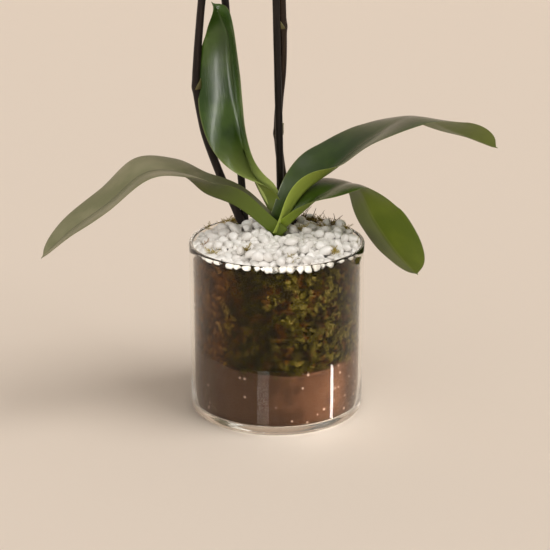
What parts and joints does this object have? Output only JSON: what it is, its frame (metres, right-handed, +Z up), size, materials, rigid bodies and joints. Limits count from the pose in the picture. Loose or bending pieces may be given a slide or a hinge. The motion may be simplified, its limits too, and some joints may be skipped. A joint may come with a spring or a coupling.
{
  "type": "potted orchid",
  "caption": "Moth orchid with arching leaves and two staked flower spikes, planted in moss and soil under white pebbles in a clear glass cylinder vase.",
  "frame": {"origin": "centre of the vase's underside, on the surface it stands on", "axes": "+Z up along the vase's axis; -Y is the front, towards which the upright leaf opens; +X to the right seen from the front"},
  "size_m": [0.4186, 0.15, 0.6927],
  "materials": {
    "glass": "clear, smooth and polished",
    "soil": "matt, fine and damp",
    "moss": "matt, shaggy, from reddish brown to yellow-green",
    "roots": "matt",
    "pebbles": "white, smooth, slightly glossy",
    "stem": "satin green",
    "leaf": "waxy green, glossy above and duller beneath",
    "spike": "smooth, dark purple-brown",
    "stake": "matt, nearly black",
    "clip": "dull green",
    "petal": "soft, slightly translucent pink",
    "lip": "satin deep magenta",
    "bud": "satin, green flushed with pink"
  },
  "bodies": {
    "root": {"glass_vase": "glass", "soil_layer": "soil", "moss_layer": "moss", "root_ball": "roots", "pebble_topping": "pebbles", "crown_stem": "stem", "leaf_left": "leaf", "leaf_upright": "leaf", "leaf_upper_right": "leaf", "leaf_lower_right": "leaf", "spike_left": "spike", "stake_left": "stake", "clip_left": "clip", "flower_left_1": "petal", "lip_left_1": "lip", "flower_left_2": "petal", "lip_left_2": "lip", "flower_left_3": "petal", "lip_left_3": "lip", "flower_left_4": "petal", "lip_left_4": "lip", "bud_left_1": "bud", "bud_left_2": "bud", "bud_left_3": "bud", "spike_right": "spike", "stake_right": "stake", "clip_right": "clip", "flower_right_1": "petal", "lip_right_1": "lip", "flower_right_2": "petal", "lip_right_2": "lip", "flower_right_3": "petal", "lip_right_3": "lip", "flower_right_4": "petal", "lip_right_4": "lip", "bud_right_1": "bud", "bud_right_2": "bud", "bud_right_3": "bud"}
  },
  "joints": []
}
